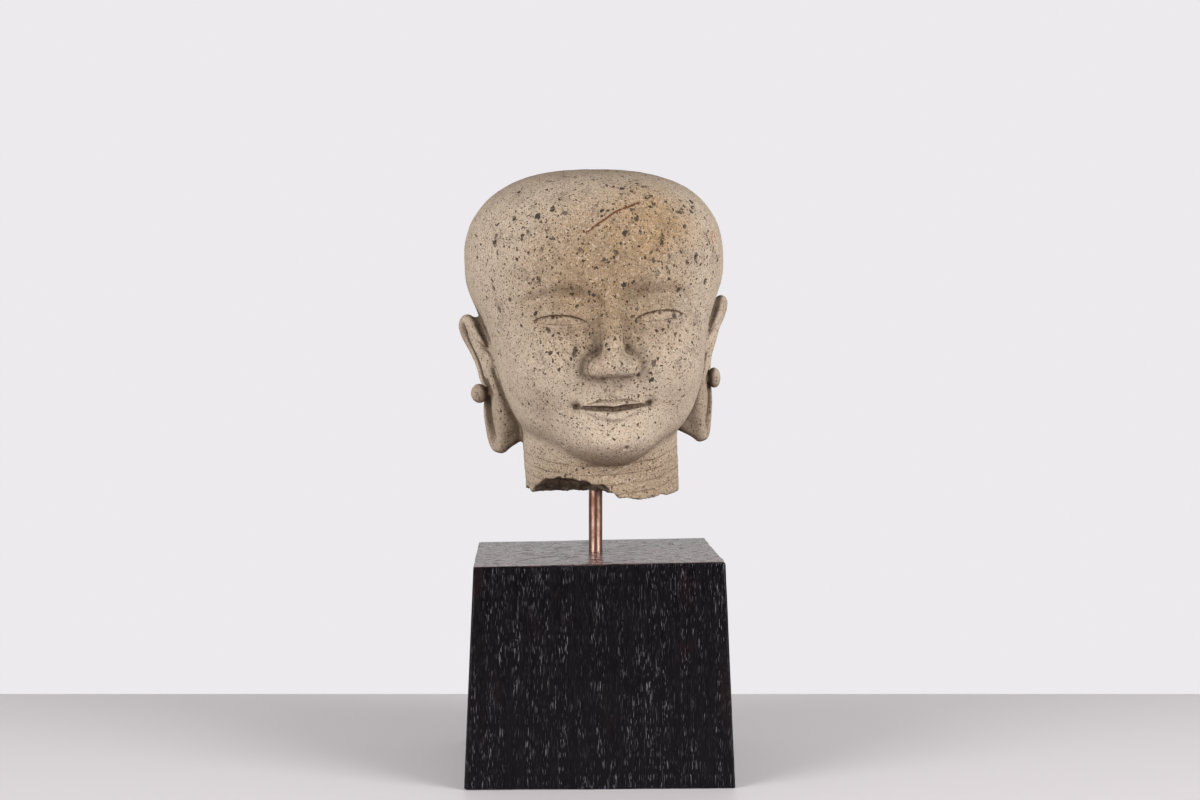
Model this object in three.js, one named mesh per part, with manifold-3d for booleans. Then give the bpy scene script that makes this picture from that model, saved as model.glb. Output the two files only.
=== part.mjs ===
// Carved stone head of a Buddha, broken off at the neck.
// A metal rod holds it above a tapered wooden plinth.
// Millimetres, +Z up. The origin is the centre of the plinth's underside, and the face looks along -Y.

import * as THREE from 'three';
import { mergeVertices } from 'three/addons/utils/BufferGeometryUtils.js';
import Module from 'manifold-3d';

const wasm = await Module();
wasm.setup();

// Driving sizes of the plinth
const PLINTH_TOP_WIDTH = 174.5;
const PLINTH_BOTTOM_WIDTH = 187.5;
const PLINTH_HEIGHT = 155;
const PLINTH_TOP_RISE = 2.8; // the top was sawn a little out of level and rises towards +X

// Driving sizes of the rod
const ROD_DIAMETER = 10;
const ROD_SHOWN = 40.8; // from the plinth's top up to the lowest point of the broken neck
const ROD_IN_PLINTH = 55;
const ROD_IN_HEAD = 60;
const ROD_SIDES = 32;
const ROD_CLEARANCE = 0.3; // around the rod in both bores, and beyond its ends

// Driving sizes and pose of the head
const HEAD_HEIGHT = 212; // chin to crown
const HEAD_SHIFT_X = 0.9; // of the eye line's middle from the rod
const HEAD_TURN = 4.1; // degrees, towards +X
const HEAD_LEAN = 2.8; // degrees, the crown towards -X
const NECK_LOW_POINT = 62; // below the eye line, in hundredths of the head's height

// All carving is given in hundredths of the head's height, from the middle of the eye line:
// x to the left side of the face, y to the back, z up. A field is negative in the stone.
const UNIT = HEAD_HEIGHT / 100;
const TURN = THREE.MathUtils.degToRad(HEAD_TURN);
const LEAN = THREE.MathUtils.degToRad(HEAD_LEAN);

// Meshing, in the same hundredths
const FACE_STEP = 1.3;
const BACK_STEP = 6;
const COARSENING_ANGLE = 0.88; // radians from the face's middle to where the step is half grown
const COARSENING_SPREAD = 0.5;
const EAR_CELLS = 20; // across the width of the box around an ear
const EAR_BOX = new THREE.Box3(new THREE.Vector3(17, -9, -51), new THREE.Vector3(51, 24, 11));

// Blending of fields

function smoothUnion(a, b, width) {
  const h = Math.max(width - Math.abs(a - b), 0) / width;
  return Math.min(a, b) - h * h * width * 0.25;
}

function smoothCut(a, b, width) {
  return -smoothUnion(-a, b, width);
}

function bell(x, width) {
  return Math.exp(-((x / width) ** 2));
}

function ramp(x, soft) {
  const t = Math.min(Math.max(x / soft / 2 + 0.5, 0), 1);
  return t * t * (3 - 2 * t);
}

// Basic fields

function ellipsoid([x, y, z], [cx, cy, cz], [rx, ry, rz]) {
  const near = Math.hypot((x - cx) / rx, (y - cy) / ry, (z - cz) / rz);
  const slope = Math.hypot((x - cx) / rx ** 2, (y - cy) / ry ** 2, (z - cz) / rz ** 2);
  return (near * (near - 1)) / Math.max(slope, 1e-6);
}

// An ellipsoid with fuller shoulders: a higher power fills out its corners, in plan and upright
function squareEllipsoid([x, y, z], [cx, cy, cz], [rx, ry, rz], planPower, uprightPower) {
  const plan = Math.abs((x - cx) / rx) ** planPower + Math.abs((y - cy) / ry) ** planPower;
  const upright = Math.abs((z - cz) / rz) ** uprightPower;
  const near = (plan ** (uprightPower / planPower) + upright) ** (1 / uprightPower);
  return Math.hypot(x - cx, y - cy, z - cz) * (1 - 1 / Math.max(near, 1e-6));
}

// A bar from a to b with round ends
function taperedBar([x, y, z], a, b, radiusA, radiusB) {
  const [dx, dy, dz] = [b[0] - a[0], b[1] - a[1], b[2] - a[2]];
  const [px, py, pz] = [x - a[0], y - a[1], z - a[2]];
  const t = THREE.MathUtils.clamp((px * dx + py * dy + pz * dz) / (dx * dx + dy * dy + dz * dz), 0, 1);
  return Math.hypot(px - t * dx, py - t * dy, pz - t * dz) - (radiusA + (radiusB - radiusA) * t);
}

// A round bar bent along an ellipse in the plane of the first two coordinates
function ovalRing([s, z, n], [cs, cz, cn], halfWidth, halfHeight, radius) {
  const near = Math.hypot((s - cs) / halfWidth, (z - cz) / halfHeight);
  const slope = Math.hypot((s - cs) / halfWidth ** 2, (z - cz) / halfHeight ** 2);
  const distance = (near * (near - 1)) / Math.max(slope, 1e-6);
  return Math.hypot(distance, n - cn) - radius;
}

// Skull, cheeks, jaw and chin
function skull([x, y, z]) {
  const p = [x, y, z];
  const m = [Math.abs(x), y, z];
  const above = z > 19;
  // The crown slopes down a little towards +x and has a fuller shoulder on the other side
  const fuller = 0.65 * bell(x + 21, 13) * ramp(z - 30, 14);
  const crown = above ? [x, y, z + 0.012 * x - fuller] : p;
  let f = squareEllipsoid(crown, [0, 2, 19], [44.6, 46, above ? 30.9 : 30.5], 2.15, above ? 2.42 : 2.3);
  f = smoothUnion(f, ellipsoid(p, [0, -6.5, -10], [36, 35.5, 35.5]), 12);
  f = smoothUnion(f, ellipsoid(m, [10.5, -9, -25], [19.5, 25, 20.5]), 8);
  f = smoothUnion(f, ellipsoid(p, [0, 14, -2], [36, 33, 34]), 10);
  f = smoothUnion(f, ellipsoid(p, [0, -24, -37.5], [16, 17.5, 13]), 7);
  return smoothUnion(f, ellipsoid(m, [17, -27, -14], [13, 13.5, 13]), 8);
}

const NECK_SHIFT_X = -0.9;
const NECK_RADIUS_X = 26.6;
const NECK_RADIUS_Y = 27;
const NECK_BOTTOM = -NECK_LOW_POINT - 10; // before the break is cut

function neck([x, y, z]) {
  const across = Math.hypot((x - NECK_SHIFT_X) / NECK_RADIUS_X, (y - 1) / NECK_RADIUS_Y);
  const side = (across - 1) * NECK_RADIUS_X - 0.25 * bell(z + 40, 8);
  return Math.max(side, z + 20, NECK_BOTTOM - z);
}

function noseBridge(p) {
  return taperedBar(p, [0, -39.9, 8], [0, -46.4, -14], 2.7, 3.9);
}

function noseTip([x, y, z]) {
  const tip = ellipsoid([x, y, z], [0, -47.4, -16.4], [5.2, 4.9, 4.6]);
  const wings = ellipsoid([Math.abs(x), y, z], [4.9, -43.6, -17.2], [3.7, 5.4, 3.8]);
  return smoothUnion(tip, wings, 3.4);
}

// Carving on the face, as a height out of the surface

const EYE_X = 16.4;
const EYE_HALF = 8.4;

function eyeRelief(x, z) {
  const side = Math.abs(x);
  const s = (side - EYE_X) / EYE_HALF;
  const k = Math.max(1 - s * s, 0);
  const upperLid = -1.6 + 2.1 * k ** 0.75 + 0.5 * s;
  const lowerLid = -1.6 - 1.1 * k ** 0.9 + 0.5 * s;
  const hollow = 2.3 * bell(side - 10.5, 5.5) * bell(z - 3, 4.6) + bell(side - 19, 9) * bell(z - 5.4, 3);
  const ball = Math.max(1 - ((side - EYE_X) / 12.6) ** 2 - ((z + 0.6) / 7.4) ** 2, 0) ** 1.7;
  const lidSlope = Math.max(1 - Math.max(z - upperLid, 0) / 3, 0);
  const lidEdge = ramp(z - upperLid, 0.6) * lidSlope * Math.min(k * 2, 1);
  const opening = ramp(upperLid - z, 0.7) * ramp(z - lowerLid, 0.7) * Math.min(k * 3, 1);
  return 2.9 * ball + 0.5 * lidEdge - hollow - 0.8 * opening;
}

function browRelief(x, z) {
  const side = Math.abs(x);
  const line = 11.4 - 0.021 * (side - 15.5) ** 2;
  const fade = ramp(side - 4, 4) * ramp(29 - side, 6);
  return 0.55 * fade * (bell(z - line, 3) - bell(z - line + 4, 2.4));
}

const MOUTH_HALF = 12;

function mouthRelief(x, z) {
  const side = Math.abs(x);
  const a = Math.min(side / MOUTH_HALF, 1);
  const line = -30.6 + a ** 2 - 0.35 * bell(x, 2);
  const upperHeight = Math.max(3.5 * (1 - a ** 1.6) - 0.7 * bell(x, 1.7), 0.05);
  const lowerHeight = Math.max(4.5 * (1 - a ** 2.1), 0.05);
  const up = THREE.MathUtils.clamp((z - line) / upperHeight, 0, 1);
  const down = THREE.MathUtils.clamp((line - z) / lowerHeight, 0, 1);
  const upperLip = 1.5 * Math.sin(Math.PI * up ** 0.8) ** 0.9;
  const lowerLip = 1.8 * Math.sin(Math.PI * down ** 0.72) ** 0.9;
  const lips = (z > line ? upperLip : lowerLip) * (1 - a ** 2.6);
  const parting = bell(z - line, 0.9) * ramp(1.05 - side / MOUTH_HALF, 0.1);
  const corners = 0.9 * bell(side - MOUTH_HALF - 0.3, 2.1) * bell(z + 29.6, 1.9);
  const philtrum = 0.6 * bell(x, 1.9) * ramp(z + 26.6, 1) * ramp(-21 - z, 1.5);
  const chinFold = 1.3 * bell(z + 37.8, 2) * bell(x, 9.5);
  return lips - parting - corners - philtrum - chinFold;
}

function coreField(p) {
  const [x, y, z] = p;
  let f = smoothUnion(skull(p), noseBridge(p), 4);
  f = smoothUnion(f, noseTip(p), 2);
  f = smoothUnion(f, neck(p), 2.5);
  f -= (eyeRelief(x, z) + browRelief(x, z) + mouthRelief(x, z)) * ramp(-y - 20, 6);
  return smoothCut(f, ellipsoid([Math.abs(x), y, z], [3.3, -46.6, -21.5], [1.8, 2.8, 1.3]), 0.5);
}

// Ears, each with a bead on its outer edge and a long slotted lobe

const EAR_TURN = THREE.MathUtils.degToRad(14);
const LOBE_TURN = THREE.MathUtils.degToRad(14); // further, about the back edge of the lobe
const LOBE_BACK = 10.4; // from the front of the ear

function ear(x, y, z) {
  const [cos, sin] = [Math.cos(EAR_TURN), Math.sin(EAR_TURN)];
  const s = (x - 35.2) * sin + (y + 0.5) * cos;
  const flare = 0.02 * (z + 40) + 5.9 * ramp(z + 6.2, 9.5);
  const n = (x - 35.2) * cos - (y + 0.5) * sin - flare;
  const q = [s, z, n];
  const around = Math.atan2((z + 9.5) / 12.6, (s - 7.4) / 8.2);
  const rimRadius = 1.75 + 0.45 * Math.sin(around) + 0.15 * Math.cos(around);
  const rimGap = 4 * ramp(4.5 - s, 3) * ramp(-8 - z, 4);
  const rim = ovalRing(q, [7.4, -9.5, 0.6], 8.2, 12.6, rimRadius) + rimGap;
  const fold = ovalRing(q, [6.8, -10, 0.4], 4.6, 8.2, 1.35) + 4 * ramp(5.2 - s, 2);
  const plate = ellipsoid(q, [7, -10, -1.9], [9.2, 14.2, 3]);
  let f = smoothUnion(plate, smoothUnion(rim, fold, 0.5), 0.9);
  f = smoothCut(f, ellipsoid(q, [4.4, -10, 2], [2.9, 4.4, 3]), 1);
  f = smoothUnion(f, ellipsoid(q, [0.6, -11.4, 0.5], [1.8, 3, 1.6]), 1);
  const back = s - LOBE_BACK;
  const lobeCos = Math.cos(LOBE_TURN);
  const lobeSin = Math.sin(LOBE_TURN);
  const r = [LOBE_BACK + back * lobeCos + n * lobeSin, z, n * lobeCos - back * lobeSin];
  let lobe = ellipsoid(r, [6.2, -32.5, -1.2], [5.8, 13.2, 3]);
  lobe = smoothUnion(lobe, ovalRing(r, [6.2, -33, 0.3], 4.2, 10.4, 1.9), 1.2);
  f = smoothUnion(f, lobe, 1.5);
  f = smoothUnion(f, ellipsoid([x, y, z], [34.5, 6.5, -7], [6, 6.5, 10]), 2);
  f = smoothUnion(f, taperedBar([x, y, z], [42.2, 2, 0.6], [34.8, 1.2, -24], 2.9, 2), 1.5);
  f = smoothUnion(f, ellipsoid([x, y, z], [29.5, 6.2, -30], [9.5, 6, 11]), 3.5);
  f = smoothUnion(f, taperedBar([x, y, z], [34.6, 4.8, -42.6], [28, 5.4, -39], 2.5, 2.5), 2);
  return smoothCut(f, ellipsoid(r, [6.5, -32.5, 2.7], [2.2, 9, 3.7]), 0.7);
}

// The two ears differ a little in height and in how far the bead stands out
const EARS = [
  { side: 1, drop: 0, beadPlace: 40.4, beadHalf: 2.5 },
  { side: -1, drop: 2.5, beadPlace: 41.4, beadHalf: 3.1 },
];

function earField([x, y, z], { drop, beadPlace, beadHalf }) {
  const height = z + drop * THREE.MathUtils.clamp((z + 50) / 52, 0, 1);
  const bead = ellipsoid([x, y, height], [beadPlace, 4.5, -23.5], [beadHalf, 3.1, 3.75]);
  return smoothUnion(ear(x, y, height), bead, 0.4);
}

// Height of the broken face of the neck: nearly level, with a low blunt ridge towards the front
function breakHeight(x, y) {
  const ridgeLeft = 1.5 - 0.16 * x;
  const ridgeRight = -0.1 + 0.18 * (x - 9.5);
  const flat = 0.8 + 0.05 * (y + 26);
  const rough = 0.3 * Math.sin(0.9 * x + 0.4 * y) * Math.sin(0.7 * y - 0.3 * x);
  const aboveLowPoint = Math.min(flat, Math.max(ridgeLeft, ridgeRight)) + rough - Math.tan(LEAN) * x;
  return aboveLowPoint - NECK_LOW_POINT;
}

// Solids and meshes

function toSolid(geometry) {
  const plain = new THREE.BufferGeometry();
  plain.setAttribute('position', geometry.getAttribute('position').clone());
  plain.setIndex(geometry.index);
  const merged = mergeVertices(plain, 1e-5);
  const vertProperties = new Float32Array(merged.getAttribute('position').array);
  const triVerts = new Uint32Array(merged.index.array);
  return new wasm.Manifold(new wasm.Mesh({ numProp: 3, vertProperties, triVerts }));
}

function toGeometry(solid) {
  const { vertProperties, triVerts } = solid.getMesh();
  const geometry = new THREE.BufferGeometry();
  geometry.setAttribute('position', new THREE.BufferAttribute(new Float32Array(vertProperties), 3));
  geometry.setIndex(new THREE.BufferAttribute(new Uint32Array(triVerts), 1));
  geometry.computeVertexNormals();
  return geometry;
}

function indexedGeometry(points, triangles) {
  const geometry = new THREE.BufferGeometry();
  geometry.setAttribute('position', new THREE.Float32BufferAttribute(points.flat(), 3));
  geometry.setIndex(triangles);
  return geometry;
}

// The core is a net of rings around the -Y axis.
// Each point lies where its ray from the middle leaves the stone.
function coreGeometry() {
  const middle = [0, 0, -8];
  const reach = 85;
  const meanRadius = 46;
  const surfacePoint = (polar, turn) => {
    const ray = [Math.sin(polar) * Math.sin(turn), -Math.cos(polar), Math.sin(polar) * Math.cos(turn)];
    const at = (distance) => middle.map((value, i) => value + ray[i] * distance);
    let outer = reach;
    while (coreField(at(outer - 1)) > 0) outer -= 1;
    let inner = outer - 1;
    for (let i = 0; i < 24; i += 1) {
      const half = (inner + outer) / 2;
      if (coreField(at(half)) > 0) outer = half;
      else inner = half;
    }
    return at(inner).map((value) => value * UNIT);
  };

  const points = [surfacePoint(0, 0)];
  const triangles = [];
  let ring = { start: 0, count: 1 };
  const joinRing = (next) => {
    let [i, j] = [0, 0];
    while (i < ring.count || j < next.count) {
      const a = ring.start + (i % ring.count);
      const b = next.start + (j % next.count);
      const innerLags = (i + 1) / ring.count <= (j + 1) / next.count;
      if (ring.count > 1 && i < ring.count && (innerLags || j >= next.count)) {
        i += 1;
        triangles.push(a, ring.start + (i % ring.count), b);
      } else if (next.count > 1 && j < next.count) {
        j += 1;
        triangles.push(a, next.start + (j % next.count), b);
      } else {
        break;
      }
    }
    ring = next;
  };

  const step = (polar) => {
    const grown = ramp(polar - COARSENING_ANGLE, COARSENING_SPREAD);
    return FACE_STEP + (BACK_STEP - FACE_STEP) * grown;
  };
  let polar = FACE_STEP / meanRadius;
  while (polar < Math.PI - (0.6 * BACK_STEP) / meanRadius) {
    const count = Math.max(6, Math.round((2 * Math.PI * meanRadius * Math.sin(polar)) / step(polar)));
    const next = { start: points.length, count };
    for (let k = 0; k < count; k += 1) points.push(surfacePoint(polar, (2 * Math.PI * k) / count));
    joinRing(next);
    polar += step(polar) / meanRadius;
  }
  points.push(surfacePoint(Math.PI, 0));
  joinRing({ start: points.length - 1, count: 1 });
  return indexedGeometry(points, triangles);
}

const CORNERS = [0, 1, 2, 3, 4, 5, 6, 7].map((n) => [n & 1, (n >> 1) & 1, (n >> 2) & 1]);

// True if the corners of a cell with the given sign hang together along the cell's edges
function hangTogether(inside, wanted) {
  const members = CORNERS.map((_, n) => n).filter((n) => inside[n] === wanted);
  if (members.length < 2) return true;
  const reached = new Set([members[0]]);
  for (const n of reached) {
    for (const bit of [1, 2, 4]) {
      if (inside[n ^ bit] === wanted) reached.add(n ^ bit);
    }
  }
  return reached.size === members.length;
}

// A closed net around a field's stone: one point in each cell that the surface crosses
function netGeometry(field, box, step) {
  const size = box.getSize(new THREE.Vector3());
  const [nx, ny, nz] = size.toArray().map((length) => Math.ceil(length / step) + 1);
  const index = (i, j, k) => (k * ny + j) * nx + i;
  const place = (i, j, k) => [box.min.x + i * step, box.min.y + j * step, box.min.z + k * step];
  const inside = new Array(nx * ny * nz).fill(false);
  for (let k = 2; k < nz - 2; k += 1) {
    for (let j = 2; j < ny - 2; j += 1) {
      for (let i = 2; i < nx - 2; i += 1) inside[index(i, j, k)] = field(place(i, j, k)) < 0;
    }
  }
  const cornerIndex = (i, j, k) => CORNERS.map(([a, b, c]) => index(i + a, j + b, k + c));
  const forCells = (visit) => {
    for (let k = 0; k < nz - 1; k += 1) {
      for (let j = 0; j < ny - 1; j += 1) {
        for (let i = 0; i < nx - 1; i += 1) visit(i, j, k);
      }
    }
  };

  // Cells where two surfaces would touch are filled, so that the net stays one clean skin
  let filled = true;
  while (filled) {
    filled = false;
    forCells((i, j, k) => {
      const corners = cornerIndex(i, j, k);
      const signs = corners.map((n) => inside[n]);
      if (hangTogether(signs, true) && hangTogether(signs, false)) return;
      for (const n of corners) inside[n] = true;
      filled = true;
    });
  }

  const slope = (p) => {
    const gap = 0.05;
    return [0, 1, 2].map((axis) => {
      const ahead = p.map((value, i) => value + (i === axis ? gap : 0));
      const behind = p.map((value, i) => value - (i === axis ? gap : 0));
      return (field(ahead) - field(behind)) / (2 * gap);
    });
  };
  const points = [];
  const pointOf = new Map();
  forCells((i, j, k) => {
    const signs = cornerIndex(i, j, k).map((n) => inside[n]);
    if (signs.every((sign) => sign) || !signs.some((sign) => sign)) return;
    const centre = place(i + 0.5, j + 0.5, k + 0.5);
    let p = centre;
    for (let pass = 0; pass < 4; pass += 1) {
      const gradient = slope(p);
      const move = field(p) / Math.max(Math.hypot(...gradient) ** 2, 0.2);
      const limit = 0.45 * step;
      p = p.map((value, a) => {
        const moved = value - gradient[a] * move;
        return THREE.MathUtils.clamp(moved, centre[a] - limit, centre[a] + limit);
      });
    }
    pointOf.set(index(i, j, k), points.length);
    points.push(p.map((value) => value * UNIT));
  });

  const triangles = [];
  const addQuad = (cells, flip) => {
    const [a, b, c, d] = cells.map((cell) => pointOf.get(cell));
    if (flip) triangles.push(a, c, b, a, d, c);
    else triangles.push(a, b, c, a, c, d);
  };
  for (let k = 1; k < nz - 1; k += 1) {
    for (let j = 1; j < ny - 1; j += 1) {
      for (let i = 1; i < nx - 1; i += 1) {
        const here = inside[index(i, j, k)];
        const cell = (a, b, c) => index(i - a, j - b, k - c);
        if (here !== inside[index(i + 1, j, k)]) {
          addQuad([cell(0, 1, 1), cell(0, 0, 1), cell(0, 0, 0), cell(0, 1, 0)], !here);
        }
        if (here !== inside[index(i, j + 1, k)]) {
          addQuad([cell(1, 0, 1), cell(1, 0, 0), cell(0, 0, 0), cell(0, 0, 1)], !here);
        }
        if (here !== inside[index(i, j, k + 1)]) {
          addQuad([cell(1, 1, 0), cell(0, 1, 0), cell(0, 0, 0), cell(1, 0, 0)], !here);
        }
      }
    }
  }
  return indexedGeometry(points, triangles);
}

function earSolid(kind) {
  const step = (EAR_BOX.max.x - EAR_BOX.min.x) / EAR_CELLS;
  const geometry = netGeometry((p) => earField(p, kind), EAR_BOX, step);
  const solid = toSolid(geometry);
  return kind.side > 0 ? solid : solid.mirror([1, 0, 0]);
}

// The block below the break, its top face rough
function breakSolid() {
  const width = 80;
  const floor = -NECK_LOW_POINT - 28;
  const segments = 18;
  const block = new THREE.BoxGeometry(width, width, 1, segments, segments, 1);
  const position = block.getAttribute('position');
  for (let i = 0; i < position.count; i += 1) {
    const [x, y, z] = [position.getX(i), position.getY(i), position.getZ(i)];
    position.setZ(i, z > 0 ? breakHeight(x, y) : floor);
  }
  block.scale(UNIT, UNIT, UNIT);
  return toSolid(block);
}

// Chips out of the neck's edge: a wide scoop at the front and a small step at the side
const CHIPS = [
  { centre: [-14.5, -18, -NECK_LOW_POINT - 0.5], radii: [17.5, 15, 8.7], roughness: 0.06 },
  { centre: [-29.5, -5, -NECK_LOW_POINT - 0.5], radii: [5, 16, 5.8], roughness: 0.06 },
];

function chipSolid({ centre, radii, roughness }) {
  const ball = new THREE.SphereGeometry(1, 18, 12);
  const position = ball.getAttribute('position');
  for (let i = 0; i < position.count; i += 1) {
    const out = radii.map((radius, axis) => radius * position.getComponent(i, axis));
    const [x, y, z] = out.map((value, axis) => value + centre[axis]);
    const rough = 1 - roughness * Math.sin(0.8 * x + 0.5) * Math.cos(0.9 * y + 0.6 * z);
    position.setXYZ(i, ...out.map((value, axis) => centre[axis] + value * rough));
  }
  ball.scale(UNIT, UNIT, UNIT);
  return toSolid(ball);
}

// A bore for the rod, centred on its mouth
function boreGeometry(depth) {
  const radius = ROD_DIAMETER / 2 + ROD_CLEARANCE;
  const length = 2 * (depth + ROD_CLEARANCE);
  const bore = new THREE.CylinderGeometry(radius, radius, length, ROD_SIDES);
  bore.rotateX(Math.PI / 2);
  return bore;
}

// Pieces

function makePlinth() {
  const block = new THREE.BoxGeometry(1, 1, 1);
  const position = block.getAttribute('position');
  for (let i = 0; i < position.count; i += 1) {
    const top = position.getZ(i) > 0;
    const width = top ? PLINTH_TOP_WIDTH : PLINTH_BOTTOM_WIDTH;
    const height = top ? PLINTH_HEIGHT + PLINTH_TOP_RISE * position.getX(i) : 0;
    position.setXYZ(i, position.getX(i) * width, position.getY(i) * width, height);
  }
  const bore = boreGeometry(ROD_IN_PLINTH);
  bore.translate(0, 0, PLINTH_HEIGHT);
  const wood = new THREE.MeshStandardMaterial({ color: 0x1c1a1e, roughness: 0.55, metalness: 0 });
  const mesh = new THREE.Mesh(toGeometry(toSolid(block).subtract(toSolid(bore))), wood);
  mesh.name = 'plinth';
  return mesh;
}

function makeRod() {
  const length = ROD_IN_PLINTH + ROD_SHOWN + ROD_IN_HEAD;
  const bar = new THREE.CylinderGeometry(ROD_DIAMETER / 2, ROD_DIAMETER / 2, length, ROD_SIDES);
  bar.rotateX(Math.PI / 2);
  const copper = new THREE.MeshStandardMaterial({ color: 0xa8785c, roughness: 0.32, metalness: 1 });
  const mesh = new THREE.Mesh(bar, copper);
  mesh.name = 'rod';
  mesh.position.z = PLINTH_HEIGHT - ROD_IN_PLINTH + length / 2;
  return mesh;
}

function makeHead() {
  const stone = new THREE.MeshStandardMaterial({ color: 0xb5a28a, roughness: 0.9, metalness: 0 });
  const mesh = new THREE.Mesh(undefined, stone);
  mesh.name = 'head';
  mesh.position.set(HEAD_SHIFT_X, 0, PLINTH_HEIGHT + ROD_SHOWN + NECK_LOW_POINT * UNIT);
  mesh.rotation.set(0, -LEAN, TURN, 'ZYX');
  mesh.updateMatrixWorld();

  const bore = boreGeometry(ROD_IN_HEAD);
  bore.translate(0, 0, PLINTH_HEIGHT + ROD_SHOWN);
  bore.applyMatrix4(mesh.matrixWorld.clone().invert());

  let solid = toSolid(coreGeometry());
  for (const kind of EARS) solid = solid.add(earSolid(kind));
  for (const cut of [breakSolid(), ...CHIPS.map(chipSolid), toSolid(bore)]) solid = solid.subtract(cut);
  mesh.geometry = toGeometry(solid);
  return mesh;
}

const model = new THREE.Group();
model.name = 'stone-buddha-head';
model.add(makePlinth(), makeRod(), makeHead());
export default model;
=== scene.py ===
import math

import bmesh
import bpy
import numpy as np
from mathutils import Euler, Matrix, Vector


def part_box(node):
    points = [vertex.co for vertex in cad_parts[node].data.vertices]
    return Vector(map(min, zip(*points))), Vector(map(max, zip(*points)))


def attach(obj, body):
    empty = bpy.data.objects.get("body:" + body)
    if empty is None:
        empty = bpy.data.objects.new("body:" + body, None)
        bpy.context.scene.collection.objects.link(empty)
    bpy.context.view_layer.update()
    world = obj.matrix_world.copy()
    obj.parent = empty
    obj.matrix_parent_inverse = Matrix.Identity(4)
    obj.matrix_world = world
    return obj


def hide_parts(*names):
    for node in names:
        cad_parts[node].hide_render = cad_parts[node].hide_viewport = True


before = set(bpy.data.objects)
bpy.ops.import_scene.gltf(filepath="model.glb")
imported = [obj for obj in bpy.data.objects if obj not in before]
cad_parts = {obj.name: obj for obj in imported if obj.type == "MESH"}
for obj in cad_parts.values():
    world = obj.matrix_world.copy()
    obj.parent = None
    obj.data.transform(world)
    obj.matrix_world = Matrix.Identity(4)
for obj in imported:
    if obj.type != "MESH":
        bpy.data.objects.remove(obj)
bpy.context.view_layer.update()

# Driving sizes, the same as the solids' own
HEAD_HEIGHT = 0.212
UNIT = HEAD_HEIGHT / 100
HEAD_PLACE = Vector((0.0009, 0.0, 0.32724))
TURN = math.radians(4.1)
LEAN = math.radians(2.8)
ROD_DIAMETER = 0.010
ROD_CLEARANCE = 0.0003
ROD_IN_HEAD = 0.060
ROD_SHOWN = 0.0408
PLINTH_TOP_WIDTH = 0.1745
PLINTH_BOTTOM_WIDTH = 0.1875
PLINTH_HEIGHT = 0.155
PLINTH_TOP_RISE = 0.0028
ROD_IN_PLINTH = 0.055

head_matrix = Matrix.Translation(HEAD_PLACE) @ Euler((0, -LEAN, TURN), "XYZ").to_matrix().to_4x4()


# Camera, at the photograph's viewing angle
CAMERA_PLACE = Vector((-0.0508, -1.551, 0.3147))
CAMERA_YAW = math.radians(1.995)
CAMERA_PITCH = math.radians(1.811)
IMAGE_WIDTH = 1200
FOCAL_PIXELS = 2130


def make_camera():
    data = bpy.data.cameras.new("camera")
    data.sensor_fit = "HORIZONTAL"
    data.sensor_width = 36
    data.lens = FOCAL_PIXELS / IMAGE_WIDTH * data.sensor_width
    camera = bpy.data.objects.new("camera", data)
    camera.location = CAMERA_PLACE
    camera.rotation_euler = (math.pi / 2 - CAMERA_PITCH, 0, -CAMERA_YAW)
    bpy.context.scene.collection.objects.link(camera)
    bpy.context.scene.camera = camera


# Blending of fields. A field is negative in the stone.

def smooth_union(a, b, width):
    h = np.maximum(width - np.abs(a - b), 0) / width
    return np.minimum(a, b) - h * h * width * 0.25


def smooth_cut(a, b, width):
    return -smooth_union(-a, b, width)


def bell(x, width):
    return np.exp(-((x / width) ** 2))


def ramp(x, soft):
    t = np.clip(x / soft / 2 + 0.5, 0, 1)
    return t * t * (3 - 2 * t)


# Basic fields

def ellipsoid(p, centre, radii):
    x, y, z = (p[i] - centre[i] for i in range(3))
    near = np.sqrt((x / radii[0]) ** 2 + (y / radii[1]) ** 2 + (z / radii[2]) ** 2)
    slope = np.sqrt((x / radii[0] ** 2) ** 2 + (y / radii[1] ** 2) ** 2 + (z / radii[2] ** 2) ** 2)
    return near * (near - 1) / np.maximum(slope, 1e-6)


def square_ellipsoid(p, centre, radii, plan_power, upright_power):
    """An ellipsoid with fuller shoulders: a higher power fills out its corners, in plan and upright."""
    x, y, z = (p[i] - centre[i] for i in range(3))
    plan = np.abs(x / radii[0]) ** plan_power + np.abs(y / radii[1]) ** plan_power
    upright = np.abs(z / radii[2]) ** upright_power
    near = (plan ** (upright_power / plan_power) + upright) ** (1 / upright_power)
    return np.sqrt(x * x + y * y + z * z) * (1 - 1 / np.maximum(near, 1e-6))


def tapered_bar(p, a, b, radius_a, radius_b):
    """A bar from a to b with round ends."""
    along = [b[i] - a[i] for i in range(3)]
    off = [p[i] - a[i] for i in range(3)]
    t = np.clip(sum(off[i] * along[i] for i in range(3)) / sum(d * d for d in along), 0, 1)
    distance = np.sqrt(sum((off[i] - t * along[i]) ** 2 for i in range(3)))
    return distance - (radius_a + (radius_b - radius_a) * t)


def oval_ring(q, centre, half_width, half_height, radius):
    """A round bar bent along an ellipse in the plane of the first two coordinates."""
    s, z, n = (q[i] - centre[i] for i in range(3))
    near = np.sqrt((s / half_width) ** 2 + (z / half_height) ** 2)
    slope = np.sqrt((s / half_width ** 2) ** 2 + (z / half_height ** 2) ** 2)
    distance = near * (near - 1) / np.maximum(slope, 1e-6)
    return np.sqrt(distance ** 2 + n ** 2) - radius


# Skull, cheeks, jaw, chin and neck

SKULL_MIDDLE = (0, 2, 19)


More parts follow.
